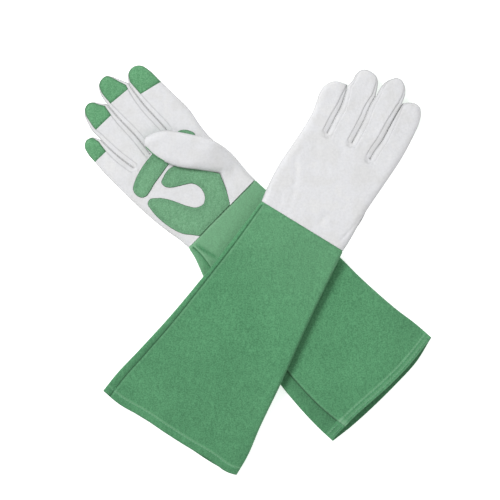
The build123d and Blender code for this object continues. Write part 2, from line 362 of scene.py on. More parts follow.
class Skin:
    """A closed skin from one plan: an upper and a lower sheet that share the points marked shared."""

    def __init__(self, plan, triangles, shared, upper, lower):
        count = len(plan)
        self.beneath = np.where(shared, np.arange(count), count + np.cumsum(~shared) - 1)
        self.points = np.vstack([upper, lower[~shared]])
        self.faces = np.vstack([triangles, self.beneath[triangles][:, ::-1]])
        self.is_upper = np.arange(len(self.faces)) < len(triangles)
        self.centres = np.vstack([plan[triangles].mean(1)] * 2)

    def on_both(self, values):
        """The plan's values, for the points of both sheets and any added after them."""
        spread = np.zeros(len(self.points))
        spread[: len(values)] = values
        spread[self.beneath] = values
        return spread


def stitches(name, line, up, length=2.3, gap=1.1, radius=0.3):
    """A row of thread stitches along a line on a surface, each one sunk in at its ends."""
    lengths = lengths_along(line)
    count = max(1, int(lengths[-1] // (length + gap)))
    # rings of (place along the stitch, size, lift), with the second half a mirror of the first
    half = [(-0.5, 0.15, -0.9), (-0.4, 0.75, -0.1), (-0.15, 1.0, 0.35)]
    rings = half + [(-along, size, lift) for along, size, lift in half[::-1]]
    sides = 6
    points, faces = [], []
    for k in range(count):
        middle = (k + 0.5) * lengths[-1] / count
        p, q, r = points_at([middle, middle + 0.5, middle - 0.5], lengths, line)
        ahead = (q - r) / (np.linalg.norm(q - r) + 1e-12)
        rise = points_at([middle], lengths, up)[0]
        rise -= ahead * (rise @ ahead)
        rise /= np.linalg.norm(rise) + 1e-12
        across = np.cross(ahead, rise)
        base = len(points)
        for along, size, lift in rings:
            for side in range(sides):
                turn = 2 * math.pi * side / sides
                up_by = rise * radius * (lift + size * math.sin(turn))
                points.append(p + ahead * along * length + up_by + across * radius * size * math.cos(turn))
        for ring in range(len(rings) - 1):
            for side in range(sides):
                a, b = base + ring * sides + side, base + ring * sides + (side + 1) % sides
                faces.append([a + sides, b + sides, b, a])
        faces.append([base + side for side in range(sides)])
        faces.append([base + (len(rings) - 1) * sides + side for side in range(sides)][::-1])
    return make_piece(name, np.array(points), faces, GREEN_THREAD)


# Materials


def node(tree, kind, **values):
    made = tree.nodes.new(kind)
    for key, value in values.items():
        if key in made.inputs:
            made.inputs[key].default_value = value
        else:
            setattr(made, key, value)
    return made


def ramp(tree, source, stops):
    """A colour ramp from (place, colour) stops."""
    made = tree.nodes.new("ShaderNodeValToRGB")
    elements = made.color_ramp.elements
    while len(elements) < len(stops):
        elements.new(0.5)
    for element, (place, colour) in zip(elements, stops):
        element.position, element.color = place, (*colour, 1)
    tree.links.new(source, made.inputs["Fac"])
    return made.outputs["Color"]


def mix(tree, factor, a, b, blend="MIX"):
    made = node(tree, "ShaderNodeMix", data_type="RGBA", blend_type=blend)
    for socket, value in ((made.inputs[0], factor), (made.inputs[6], a), (made.inputs[7], b)):
        if isinstance(value, bpy.types.NodeSocket):
            tree.links.new(value, socket)
        else:
            socket.default_value = value if isinstance(value, float) else (*value, 1)
    return made.outputs[2]


def times(colour, factor):
    return tuple(factor * c for c in colour)


def grey(value):
    return (value, value, value)


def new_material(name, roughness):
    material = bpy.data.materials.new(name)
    material.use_nodes = True
    tree = material.node_tree
    shader = tree.nodes["Principled BSDF"]
    shader.inputs["Roughness"].default_value = roughness
    place = tree.nodes.new("ShaderNodeTexCoord").outputs["Object"]
    return material, tree, shader, place


def noise(tree, place, scale, detail=3.0, stretch=None, turn=0.0):
    """Noise in the row frame, where stretch draws it out along one way."""
    if stretch:
        mapping = node(tree, "ShaderNodeMapping", Scale=stretch, Rotation=(0, 0, turn))
        tree.links.new(place, mapping.inputs["Vector"])
        place = mapping.outputs["Vector"]
    made = node(tree, "ShaderNodeTexNoise", Scale=scale, Detail=detail)
    tree.links.new(place, made.inputs["Vector"])
    return made.outputs["Fac"]


def bump(tree, shader, layers):
    """Stacks (height, distance in metres, strength) layers of bump on a shader."""
    last = None
    for height, depth, strength in layers:
        made = node(tree, "ShaderNodeBump", Strength=strength, Distance=depth)
        tree.links.new(height, made.inputs["Height"])
        if last:
            tree.links.new(last, made.inputs["Normal"])
        last = made.outputs["Normal"]
    tree.links.new(last, shader.inputs["Normal"])


def tone_of(tree, tone):
    """How pale or dark each point of a mesh is, as a mixing factor."""
    return node(tree, "ShaderNodeAttribute", attribute_name=tone).outputs["Fac"]


def suede(name, dark, middle, light, nap=0.6):
    """Split suede: a short brushed nap with soft mottling, painted paler and darker where a mesh's pale and
    dark values say, mostly painted light and shade.
    """
    material, tree, shader, place = new_material(name, 0.95)
    shader.inputs["Specular IOR Level"].default_value = 0.15
    shader.inputs["Sheen Weight"].default_value = 0.08
    shader.inputs["Sheen Roughness"].default_value = 0.6
    speckle = noise(tree, place, 760, 4.0)
    brushed = noise(tree, place, 380, 3.0, stretch=(1, 0.4, 1), turn=nap)
    cloud = noise(tree, place, 22, 2.0)
    base = ramp(tree, speckle, [(0.36, dark), (0.5, middle), (0.66, light)])
    streaks = ramp(tree, brushed, [(0.35, grey(0.92)), (0.65, grey(1.06))])
    clouds = ramp(tree, cloud, [(0.35, (0.93, 0.945, 0.94)), (0.65, (1.05, 1.035, 1.04))])
    colour = mix(tree, 1.0, mix(tree, 1.0, base, streaks, "MULTIPLY"), clouds, "MULTIPLY")
    # the paler colour that the pale values mix towards, mostly painted light
    pale = tuple(0.65 * c + brightening for c, brightening in zip(light, (0.2, 0.275, 0.205)))
    light_and_tone = mix(tree, tone_of(tree, "pale"), colour, pale)
    # painted shade: darker where the dark values say, in seam grooves, in folds and along edges
    toned = mix(tree, tone_of(tree, "dark"), light_and_tone, times(dark, 0.3))
    tree.links.new(toned, shader.inputs["Base Color"])
    fuzz = noise(tree, place, 1900, 2.0)
    bump(tree, shader, [(brushed, 0.0006, 0.5), (speckle, 0.0004, 0.6), (fuzz, 0.0002, 0.5)])
    return material


def leather(name, colour):
    """Pale grain leather: a fine pebble, hair-fine creases and a faint change of tone."""
    material, tree, shader, place = new_material(name, 0.62)
    shader.inputs["Specular IOR Level"].default_value = 0.3
    pebble = node(tree, "ShaderNodeTexVoronoi", Scale=1150.0, feature="SMOOTH_F1")
    tree.links.new(place, pebble.inputs["Vector"])
    tone = noise(tree, place, 55, 3.0)
    fine = noise(tree, place, 420, 4.0)
    wrinkle = noise(tree, place, 130, 3.0, stretch=(1, 0.3, 1), turn=0.4)
    cooler = (colour[0] * 0.985, colour[1] * 0.99, colour[2] * 1.01)
    base = ramp(tree, tone, [(0.4, times(colour, 0.955)), (0.55, cooler), (0.65, colour)])
    shade = ramp(tree, fine, [(0.35, grey(0.965)), (0.6, grey(1.02))])
    toned = mix(tree, 1.0, base, shade, "MULTIPLY")
    # painted shade: darker where the dark values say, along edges, in seam grooves and between fingers, and
    # the right glove's lower tone
    toned = mix(tree, tone_of(tree, "dark"), toned, times(colour, 0.5))
    tree.links.new(toned, shader.inputs["Base Color"])
    grain = pebble.outputs["Distance"]
    bump(tree, shader, [(wrinkle, 0.0012, 0.25), (fine, 0.0005, 0.3), (grain, 0.00025, 0.45)])
    return material


def thread(name, colour):
    """Twisted sewing thread."""
    material, tree, shader, place = new_material(name, 0.7)
    shader.inputs["Sheen Weight"].default_value = 0.2
    twist = noise(tree, place, 2600, 1.0, stretch=(1, 0.35, 1), turn=0.8)
    colours = ramp(tree, twist, [(0.35, times(colour, 0.8)), (0.65, colour)])
    tree.links.new(colours, shader.inputs["Base Color"])
    bump(tree, shader, [(twist, 0.0002, 0.6)])
    return material


CUFF_SUEDE = suede("cuff_suede", (0.062, 0.208, 0.098), (0.084, 0.264, 0.126), (0.106, 0.312, 0.153))
PATCH_SUEDE = suede(
    "patch_suede", (0.112, 0.27, 0.145), (0.145, 0.325, 0.183), (0.178, 0.375, 0.218), nap=1.4
)
TIP_SUEDE = suede(
    "fingertip_suede", (0.083, 0.25, 0.115), (0.112, 0.305, 0.15), (0.145, 0.357, 0.188), nap=2.2
)
LEATHER = leather("grain_leather", (0.655, 0.655, 0.66))
GREEN_THREAD = thread("green_thread", (0.17, 0.4, 0.24))


# Gloves


class Glove:
    """One glove's frame and outline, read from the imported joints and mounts."""

    def __init__(self, name, runs, slits, cuff):
        wrist, mouth = JOINTS[f"{name}_wrist"], MOUNTS[f"{name}_cuff_opening"]
        self.name = name
        self.palm = 1 if name == "right" else -1
        self.origin = np.array(wrist["pos_m"]) / MM
        self.across = -self.palm * np.array(wrist["axis"])
        self.ahead = np.cross(self.across, UP)
        along = -np.array(mouth["axis"])
        if name == "right":
            along = self.origin - np.array(mouth["pos_m"]) / MM
        along[2] = 0
        self.cuff_ahead = along / np.linalg.norm(along)
        self.cuff = cuff
        self.runs = [curve(run) for run in runs]
        self.slits = [curve(slit) for slit in slits]
        bends = [JOINTS[f"{name}_{finger}_bend"] for finger in FINGERS]
        self.hinges = np.array([self.plan(np.array(bend["pos_m"]) / MM) for bend in bends])
        ways = [np.cross(-self.palm * np.array(bend["axis"]), UP) for bend in bends]
        self.finger_ahead = np.array([[way @ self.ahead, way @ self.across] for way in ways])
        reach = [(run - self.hinges[i]) @ self.finger_ahead[i] for i, run in enumerate(self.runs)]
        self.tips = np.array([far.max() for far in reach])
        self.caps = self.tips - FINGER_CAPS
        self.make_outline([int(np.argmax(far)) for far in reach])

    def plan(self, point):
        """A row-frame point in the hand frame."""
        return np.array([(point - self.origin) @ self.ahead, (point - self.origin) @ self.across])

    def point(self, plan, height):
        """Hand-frame points at heights above the ground, in the row frame."""
        flat = self.origin + plan[:, :1] * self.ahead + plan[:, 1:2] * self.across
        return np.column_stack([flat[:, :2], height])

    def cuff_point(self, back, side, height):
        """Points at distances behind the wrist and to the side, in the row frame."""
        turn = smoothstep(0, 40, back)[:, None]
        across = self.across * (1 - turn) + np.cross(UP, self.cuff_ahead) * turn
        flat = self.origin - back[:, None] * self.cuff_ahead + side[:, None] * across
        return np.column_stack([flat[:, :2], height])

    def make_outline(self, apexes):
        """Joins the runs and the two sides of each slit, and marks what faces a slit."""
        parts, facing = [], []
        for i, run in enumerate(self.runs):
            index = np.arange(len(run))
            parts.append(run)
            one_side = {0: index > apexes[i], 3: index < apexes[i]}
            facing.append(one_side.get(i, np.ones(len(run), bool)))
            if i < 3:
                slit = self.slits[i]
                half = SLIT * np.linspace(1.3, 0.8, len(slit))[:, None]
                away = side_normals(slit)
                parts += [slit[1:] + away[1:] * half[1:], (slit - away * half)[-2:0:-1]]
                facing.append(np.ones(2 * len(slit) - 3, bool))
        rim = np.vstack(parts)
        keep = np.concatenate([[True], np.linalg.norm(np.diff(rim, axis=0), axis=1) > 0.05])
        self.rim, self.facing = rim[keep], np.concatenate(facing)[keep]
        in_slit = self.facing[:-1] & self.facing[1:]
        starts, ends = self.side_edges = segments(self.rim)
        self.slit_edges = (starts[in_slit], ends[in_slit])
        self.outer_edges = (starts[~in_slit], ends[~in_slit])

    def finger_of(self, plan):
        """Which finger each point belongs to, counted from the little finger."""
        count = np.zeros(len(plan), int)
        for slit, ahead in zip(self.slits, self.finger_ahead):
            path = np.vstack([slit[:1] + (60 * ahead)[None], slit])[::-1]
            count += plan[:, 1] < np.interp(plan[:, 0], path[:, 0], path[:, 1])
        return count

    def along_finger(self, plan, which):
        """Distance of each point past its finger's hinge."""
        return ((plan - self.hinges[which]) * self.finger_ahead[which]).sum(1)

    def beside_finger(self, plan, which):
        """Distance of each point to the right of its finger's middle line, looking to the tip."""
        return ((plan - self.hinges[which]) * self.finger_ahead[which][..., ::-1] * (1, -1)).sum(-1)

    def share(self, plan, which):
        """How far along its finger each point is, from 0 near the crotch to 1 at the tip."""
        start = GUSSET_START[which]
        return np.clip((self.along_finger(plan, which) - start) / (self.tips[which] - start), 0, 1)

    def seam_width(self, plan, which):
        """How far the side gusset's seam is from the edge, down to nothing at the fingertip."""
        return GUSSET * (1 - self.share(plan, which) ** 3.2)

    def middle(self, plan):
        """Height of the hand's middle above the ground."""
        if self.name == "right":
            return np.full(len(plan), self.origin[2])
        share = self.share(plan, self.finger_of(plan))
        drop = 0.45 * smoothstep(0, 1, share) + 0.55 * share
        fall = drop * smoothstep(92, 125, plan[:, 0])
        return self.origin[2] - (self.origin[2] - TIP_HEIGHT) * fall

    def swell(self, plan, palm_side):
        """Half thickness of the hand on one side, with its seams, creases and waves."""
        u, v = plan.T
        edge, slit, outer = (
            distance(plan, *edges) for edges in (self.side_edges, self.slit_edges, self.outer_edges)
        )
        which = self.finger_of(plan)
        along = self.along_finger(plan, which)
        half = HALF_HAND + (HALF_FINGER - HALF_HAND) * smoothstep(-25, 0, along)
        valley = 1 - (1 - np.clip(slit / SLIT_SHOULDER, 0, 1)) ** 2
        full = rounded(outer, SHOULDER, 2.2) * valley
        rise = half * full
        inner = smoothstep(0, 6, edge)
        width = self.seam_width(plan, which)
        sewn = is_sewn(plan, width)
        rise -= sewn * 0.6 * bell(slit - width, 0.6)
        rise += sewn * 0.25 * bell(slit - width - 1.3, 0.8)
        rise -= 0.45 * smoothstep(0.4, -0.4, slit - width) * sewn * smoothstep(0, 3, slit)
        if palm_side:
            past_cap = along - self.caps[which]
            rise -= 0.45 * bell(past_cap, 0.55) * smoothstep(-1, 1.5, slit - width + 1)
            rise += 0.25 * smoothstep(0, 1.5, past_cap) * smoothstep(0, 1, slit - width) * inner
            rise += inner * (0.28 * ripple(u, v, 34, 11) + 0.1 * ripple(u, v, 9, 12))
            rise -= 1.3 * smoothstep(0, 3.5, thumb_base_depth(self, plan))
            if self.name == "left":
                # pressed flat where it lies on the right cuff
                rise -= 0.75 * smoothstep(1.5, 6, u) * smoothstep(50, 18, u) * smoothstep(0, 5, edge)
        else:
            rise += inner * (0.3 * ripple(u, v, 38, 21) + 0.1 * ripple(u, v, 8, 22))
            for line, depth, width in BACK_CREASES:
                rise -= inner * crease(plan, line, depth, width)
        # fingers meet above the middle, so the valleys between them are shallow from above
        faces_up = 1 if palm_side == (self.palm > 0) else -1
        lift = MEETING_LIFT * smoothstep(7, 1.5, slit) * smoothstep(0, 5, outer)
        return np.clip(rise, 0, half + 0.6) + faces_up * lift * (1 - full)

    def leather_tone_and_painted_shade(self, plan):
        """How much darker the leather is painted: the glove's own tone, painted shade along its outer
        edges, in its gusset seams' grooves and in the gaps between fingers.
        """
        width = self.seam_width(plan, self.finger_of(plan))
        slit, edge = distance(plan, *self.slit_edges), distance(plan, *self.outer_edges)
        # painted shade in the gusset seam's groove and in the gaps between fingers
        seam = 0.35 * is_sewn(plan, width) * bell(slit - width, 0.5)
        gap = 0.55 * smoothstep(1.5, 0.4, slit) * smoothstep(0, 6, edge)
        # painted shade along the outer edge
        return LEATHER_TONE[self.name] - 0.45 * smoothstep(1.6, 0.2, edge) - seam - gap

    def tip_painted_shade(self, plan):
        """How dark a fingertip's suede is painted along its sewn edges: painted shade in the grooves there.
        """
        which = self.finger_of(plan)
        past_cap = self.along_finger(plan, which) + CAP_SLANT[which] * self.beside_finger(plan, which)
        past_cap -= self.caps[which]
        past_seam = distance(plan, *self.slit_edges) - self.seam_width(plan, which)
        deep = np.minimum(np.minimum(past_cap, past_seam), distance(plan, *self.outer_edges))
        return -0.5 * smoothstep(1.7, 0.3, deep)

    def height(self, plan, palm_side, lift=0.0):
        """Height above the ground of the hand's surface, with a lift out from it."""
        out = self.palm if palm_side else -self.palm
        return self.middle(plan) + out * (self.swell(plan, palm_side) + lift)


def is_sewn(plan, width):
    """1 where a side gusset's seam shows, 0 past its end and in the hand."""
    return smoothstep(0.6, 1.8, width) * smoothstep(60, 75, plan[:, 0])


# Soft folds on the back of the hand: (line, depth, width)
SHARP_CREASE = ([(48, -51), (41, -49), (25, -46.5), (12, -44.5), (2, -42)], 1.1, 1.1)
BACK_CREASES = [
    ([(65, 47), (34, 29), (14, 22)], 0.9, 2.6),
    ([(22, 39), (10, 32), (3, 30)], 0.6, 2.2),
    ([(8, -14), (20, -16), (32, -20)], 0.7, 2.5),
    ([(89, 10), (83, -16), (80, -31)], 0.55, 3.5),
    SHARP_CREASE,
    ([(90, 36), (80, 30), (72, 20)], 0.4, 3.5),
]

# The thumb and its base in plan: the side towards the palm, the tip, and the side away from it
THUMB_INNER = [(0, -13), (15, -23), (31, -31)]
THUMB_EDGE = [
    (31, -31), (49, -18), (71, -2.5), (88, 3.5), (101.5, 5), (110, 4), (114, -0.5), (113, -8),
    (105, -22), (92, -32), (78, -41), (67, -48), (57, -51.5), (46, -53.9), (33, -54.3),
    (21, -53.1), (10, -51.9), (0, -51.8),
]


def thumb_outline(glove):
    """The thumb's outline in plan. The left one stays behind the hand's edge."""
    inner, outer = curve(THUMB_INNER), curve(THUMB_EDGE)
    return np.vstack([inner, outer[1:]]) * (1, THUMB_NARROWING[glove.name])


def thumb_base_depth(glove, plan):
    """How deep inside the thumb's base each point is, or 0 outside it."""
    outline = np.vstack([thumb_outline(glove), [[-30, -52], [-30, -13]]])
    deep = distance(plan, *segments(np.vstack([outline, outline[:1]]))) * inside(plan, outline)
    return deep * smoothstep(52, 40, plan[:, 0])


# Outlines in plan, from the little finger's side of the wrist to the thumb's: a run round each
# finger's tip, and the slits between fingers from tip to crotch
RIGHT_RUNS = [
    [(0, 49.8), (12, 50.5), (28, 53), (52, 55.2), (99, 55.9), (119, 55.7), (135, 54.1), (148, 52.7),
     (155, 49.8), (158.2, 44.2), (155.9, 37), (148.7, 33)],
    [(148.7, 32.2), (160.4, 32.1), (170, 29.2), (178.5, 25.3), (183, 19.8), (183.7, 13.8), (181, 9.2),
     (176.3, 6), (170.5, 1.4)],
    [(170.5, 0.4), (176.2, -0.6), (183, -2.9), (189.7, -8.1), (191.7, -15), (190.5, -20.5),
     (185.5, -24.2), (178, -27.5), (169.4, -31.1)],
    [(169.4, -32.1), (174.7, -37), (177.4, -43.5), (176.3, -49.5), (171.5, -54.7), (162.9, -56.7),
     (147, -56.8), (125, -56.9), (101, -56.4), (84, -52.8), (68, -50.9), (52, -52), (36, -53.7),
     (20, -52.5), (10, -51.5), (0, -51.4)],
]
RIGHT_SLITS = [
    [(148.7, 32.6), (127, 32.5), (110, 31), (101, 29.5)],
    [(170.5, 0.9), (148.6, 2.7), (122, 3.7), (99, 6.5)],
    [(169.4, -31.6), (158, -29), (141, -26.4), (111, -24.6), (104, -24)],
]
LEFT_RUNS = [
    [(0, 50), (20, 53), (44, 54.5), (70, 53.4), (96, 52.8), (110, 53.6), (122, 56), (133, 58),
     (140, 57.2), (147, 53.8), (151.5, 48.5), (153.2, 42.7), (154.2, 36.9)],
    [(154.2, 35.9), (161, 34.7), (167, 35), (173, 33.6), (177.3, 29.6), (178.9, 23), (177.6, 15.5),
     (173.5, 10.8), (167.5, 8), (160.1, 5.4)],
    [(160.1, 4.4), (166, 4.9), (172, 4.8), (178, 3.4), (183.5, 0), (187.8, -5), (188.2, -10),
     (184.8, -15.6), (177, -21), (167.6, -23)],
    [(167.6, -24), (172, -29.5), (175, -35.5), (174.2, -41), (169, -46), (159.3, -49.8), (147, -51.5),
     (132, -52.7), (115, -53.2), (96, -52.6), (76, -51.6), (44, -50.5), (28, -51.2), (12, -51.7),
     (0, -51.4)],
]
LEFT_SLITS = [
    [(154.2, 36.4), (143, 33.2), (131, 30.5), (117, 29.7), (98, 28.2)],
    [(160.1, 4.9), (146, 4.5), (132, 2.4), (115, 1.1), (102.5, 0.5)],
    [(167.6, -23.5), (158, -23.6), (137, -24.5), (121, -25.5), (108, -24.7), (98, -25)],
]

# Cuffs. From side to seam, (distance behind the wrist, value) knots: side and thumb_side are the two
# edges, level is the height of the fold at the edges, top and bottom those of the panels' middles,
# and seam the side seam's distance from the little finger's edge. upper_end and lower_end are
# (v, distance behind the wrist) along the mouth. The rest are arch, how round the mouth is; roll,
# how the panel rolls beside its seam; tuck, how far in the cuff starts at the wrist seam; pale,
# painted light near the wrist; rim, how much paler or darker the mouth's edge is painted, painted
# shade on the left cuff; hem_lines, the hem's rows of stitches, from the end; and folds, like the
# hand's creases, with painted shade in them.
RIGHT_CUFF = {
    "side": [(0, 50), (12, 52), (24, 55.3), (36, 59), (60, 63), (130, 70.5), (180, 77), (252, 77.3),
             (261, 76.5)],
    "thumb_side": [(0, 51.5), (60, 57), (120, 62.3), (150, 63.6), (180, 66.3), (204, 69.2),
                   (228, 72.6), (261, 75.8)],
    "level": [(0, 6.0), (60, 5.7), (178, 5.9), (242, 8.0), (261, 8.5)],
    "top": [(0, 11.9), (60, 11.2), (178, 11.8), (220, 17.5), (242, 22.6), (261, 24.6)],
    "bottom": [(0, 0.15), (225, 0.15), (238, 0.15), (246, 0.2), (253, 0.75), (261, 0.75)],
    "seam": [(0, 4.5), (25, 10.4), (172, 15), (244, 19), (261, 20.5)],
    "upper_end": [(-76, 248.5), (-34, 253.8), (-8, 254.7), (46, 254.5), (77, 257.5)],
    "lower_end": [(-76, 248.5), (-50, 256.5), (-12, 260.2), (7, 261), (61, 260.2), (77, 258.5)],
    "arch": 1.0,
    "roll": 1.0,
    "tuck": 0.4,
    "pale": 0.25,
    "rim": 0.25,
    "hem_lines": (3.8, 8.6),
    "folds": [([(1, 42), (16, 39), (34, 34)], 1.3, 2.0)],
}
LEFT_CUFF = {
    "side": [(0, 50), (108, 60.3), (156, 66.8), (204, 75.5), (240, 82.6), (261, 84.8)],
    "thumb_side": [(0, 51.5), (80, 61), (156, 71.5), (204, 77.3), (240, 83), (261, 83.6)],
    "level": [(0, 20.0), (75, 18.2), (150, 17.6), (205, 10.4), (249, 6.3), (261, 6.3)],
    "top": [(0, 25.9), (75, 23.8), (150, 23.4), (205, 16.0), (249, 12.3), (261, 12.6)],
    "bottom": [(0, 14.2), (75, 12.7), (150, 12.4), (205, 4.9), (249, 0.4), (261, 0.3)],
    "seam": [(0, 3.5), (38, 5), (104, 5.5), (182, 7.6), (261, 9.8)],
    "upper_end": [(-84, 261.5), (-73, 264.3), (-53, 263.2), (-24, 264.0), (4, 264.0), (36, 263.2),
                  (62, 264.5), (85, 261.8)],
    "lower_end": [(-84, 261.5), (-73, 263.5), (0, 263.5), (62, 263.8), (85, 261.8)],
    "arch": 0.35,
    "roll": 0.0,
    "tuck": 0.6,
    "pale": 0.0,
    "rim": -0.3,
    "hem_lines": (8.6,),
    "folds": [],
}


# Hands


def beyond(points, ends, way):
    """Whether each point is past the line through two ends, looking along way."""
    a, b = ends
    normal = np.array([-(b - a)[1], (b - a)[0]])
    return (points - a) @ (normal * np.sign(normal @ way)) > 0


def plan_hand(glove):
    """The hand's plan and triangles, and each finger's (root, cap) lines."""
    rim = glove.rim
    spread = Spread()
    spread.line(rim)
    outline = np.vstack([rim, spread.cut(rim, len(rim) - 1, 0, WRIST_STEP)])

    # lines across each finger: where it is cut from the hand, and where its suede tip starts
    lines = []
    which = glove.finger_of(rim)
    for i in range(4):
        straight = glove.along_finger(rim, i)
        slanted = straight + CAP_SLANT[i] * glove.beside_finger(rim, i)
        for place, along in ((-KNUCKLE_BLEND, straight), (glove.caps[i], slanted)):
            apex = int(np.argmax(np.where(which == i, along, -1e9)))
            first = next(k for k in range(apex, -1, -1) if along[k] < place)
            last = next(k for k in range(apex, len(rim)) if along[k] < place)
            spread.cut(rim, first, last)
            lines.append(rim[[first, last]])

    # rows beside the gusset seams, then beside the edge, then a grid
    inward = side_normals(rim)
    base, across = rim[glove.facing], inward[glove.facing]
    width = glove.seam_width(base, glove.finger_of(base + across * 1.5))
    for offset, gap in ((0.0, 0.35), (-0.7, 0.4), (0.7, 0.4), (1.5, 0.6), (-1.5, 0.6)):
        deep = width + offset
        row = base + across * deep[:, None]
        good = (deep > 0.4) & (abs(distance(row, *glove.side_edges) - deep) < 0.14 * deep + 0.08)
        good &= inside(row, outline)
        for piece in np.split(np.arange(len(row)), np.where(~good)[0]):
            piece = piece[good[piece]]
            if len(piece) > 1 and offset == 0.0:
                spread.line(row[piece], gap=gap)
            elif len(piece) > 1:
                spread.scatter(row[piece], gap)
    rows = [(0.3, 1, 0.25), (0.8, 1, 0.45), (1.5, 1, 0.6), (2.4, 1, 0.8), (3.6, 2, 1.1), (5.2, 2, 1.4)]
    spread.rows(rim, inward, rows, outline, glove.side_edges)
    line = curve(SHARP_CREASE[0], 1.3)
    for offset in (-1.2, 0.0, 1.2):
        row = line + side_normals(line) * offset
        spread.scatter(row[inside(row, outline) & (distance(row, *glove.side_edges) > 0.6)], 0.7)
    spread.fill(outline, glove.side_edges)
    return *spread.triangles(outline), list(zip(lines[::2], lines[1::2]))


def line_wrist(glove, plan, skin):
    """Adds the turned-in edge at the wrist to a hand's skin, and returns its faces."""
    open_end = np.where(abs(plan[:, 0]) < 1e-3)[0]
    open_end = open_end[np.argsort(-plan[open_end, 1])]
    ring = [*open_end, *skin.beneath[open_end[-2:0:-1]]]
    centre = glove.point(np.zeros((1, 2)), glove.middle(np.zeros((1, 2))))[0]
    flat = skin.points[ring] - centre
    side = flat @ glove.across
    inner = centre + np.outer(side * (1 - SKIN / abs(side).max()), glove.across)
    inner[:, 2] = centre[2] + np.sign(flat[:, 2]) * np.maximum(abs(flat[:, 2]) - SKIN, 0)
    deep = inner + 12 * glove.ahead
    deep[:, 2] = centre[2] + 0.6 * (deep[:, 2] - centre[2])
    count, size = len(skin.points), len(ring)
    skin.points = np.vstack([skin.points, inner, deep])
    faces = []
    for k in range(size):
        n = (k + 1) % size
        faces.append((ring[k], ring[n], count + n, count + k))
        faces.append((count + k, count + n, count + size + n, count + size + k))
    return faces


def build_hand(glove):
    """The leather of one hand, cut into the hand and its four fingers, with suede fingertips."""
    plan, triangles, lines = plan_hand(glove)
    upper_is_palm = glove.palm > 0
    upper = glove.point(plan, glove.height(plan, upper_is_palm))
    lower = glove.point(plan, glove.height(plan, not upper_is_palm))
    skin = Skin(plan, triangles, distance(plan, *glove.side_edges) < 1e-3, upper, lower)
    lining = line_wrist(glove, plan, skin)
    points, faces = skin.points, [tuple(f) for f in skin.faces] + lining
    normals = vertex_normals(points, faces)
    painted_light_and_tone, tip_painted_shade = skin.on_both(glove.leather_tone_and_painted_shade(plan)), skin.on_both(glove.tip_painted_shade(plan))

    # share the faces out
    owner = np.full(len(skin.faces), -1)
    tip = np.zeros(len(skin.faces), bool)
    finger = glove.finger_of(skin.centres)
    past_seam = distance(skin.centres, *glove.slit_edges) > glove.seam_width(skin.centres, finger)
    suede_side = past_seam & (skin.is_upper == upper_is_palm)
    for i, (root, cap) in enumerate(lines):
        owner[beyond(skin.centres, root, glove.finger_ahead[i]) & (finger == i)] = i
        tip |= beyond(skin.centres, cap, glove.finger_ahead[i]) & (finger == i) & suede_side

    def part(name, chosen, material, tone, more=()):
        chosen = [faces[k] for k in np.where(chosen)[0]]
        return make_piece(name, points, [*chosen, *more], material, normals, tone)

    side = glove.name
    piece = part(f"{side}_hand_leather", owner < 0, LEATHER, painted_light_and_tone, lining)
    blend_wrist(piece)
    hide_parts(*(f"{side}_{n}" for n in ("palm_panel", "back_panel")))
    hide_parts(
        *(f"{side}_{n}_fourchette" for n in ("little_ring", "ring_middle", "middle_index"))
    )
    for i, finger_name in enumerate(FINGERS):
        body = f"{side}_{finger_name}_finger"
        hinge = glove.point(glove.hinges[i][None], [glove.origin[2]])[0]
        piece = part(f"{body}_leather", (owner == i) & ~tip, LEATHER, painted_light_and_tone)
        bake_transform(piece)
        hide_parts(f"{body}_back", f"{body}_front")
        piece = part(f"{body}_tip", (owner == i) & tip, TIP_SUEDE, tip_painted_shade)
        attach(piece, body)
        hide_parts(f"{body}_tip_patch")


def blend_wrist(piece):
    """Bakes a piece's placing into its mesh."""
    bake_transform(piece)


# Patches on the palm

BAR = [
    (97, 7.5), (96, 18), (93.5, 30), (90, 39.5), (85.5, 46.5), (79.5, 48.5), (72.5, 46), (70.5, 42),
    (71, 36), (73, 28), (75, 15), (77, 1), (77.5, -18), (76, -33), (76.5, -39.5), (80, -42),
    (86, -40.5), (92, -36), (95.5, -28), (97, -14),
]
HORSESHOE = [
    (0, 32.5), (5.5, 36.5), (15, 43.5), (29.5, 48), (43.5, 49.5), (57, 48.5), (64, 46.3), (65.5, 42),
    (61, 35.3), (52.5, 28.5), (42.5, 23.5), (32, 18.8), (23.5, 12.5), (21.3, 5), (24, 0), (30, -3.8),
    (38, -4.6), (45.5, -1.3), (49.7, 4.5), (54, 11.5), (59, 18), (63.7, 20.8), (69, 20.3),
    (71.6, 14.5), (73.4, 5), (71.4, -2.5), (62, -11), (45.5, -22), (31, -30.3),
]
HORSESHOE_BASE = [(31, -30.3), (15, -23), (0, -14.5)]


def horseshoe_outline():
    """The horseshoe, with a corner at the thumb and a straight edge along the wrist seam."""
    sides, low = curve(HORSESHOE, EDGE_STEP), curve(HORSESHOE_BASE, EDGE_STEP)
    wrist = evenly(np.array([HORSESHOE_BASE[-1], HORSESHOE[0]]), EDGE_STEP)
    return np.vstack([sides, low[1:], wrist[1:-1]])


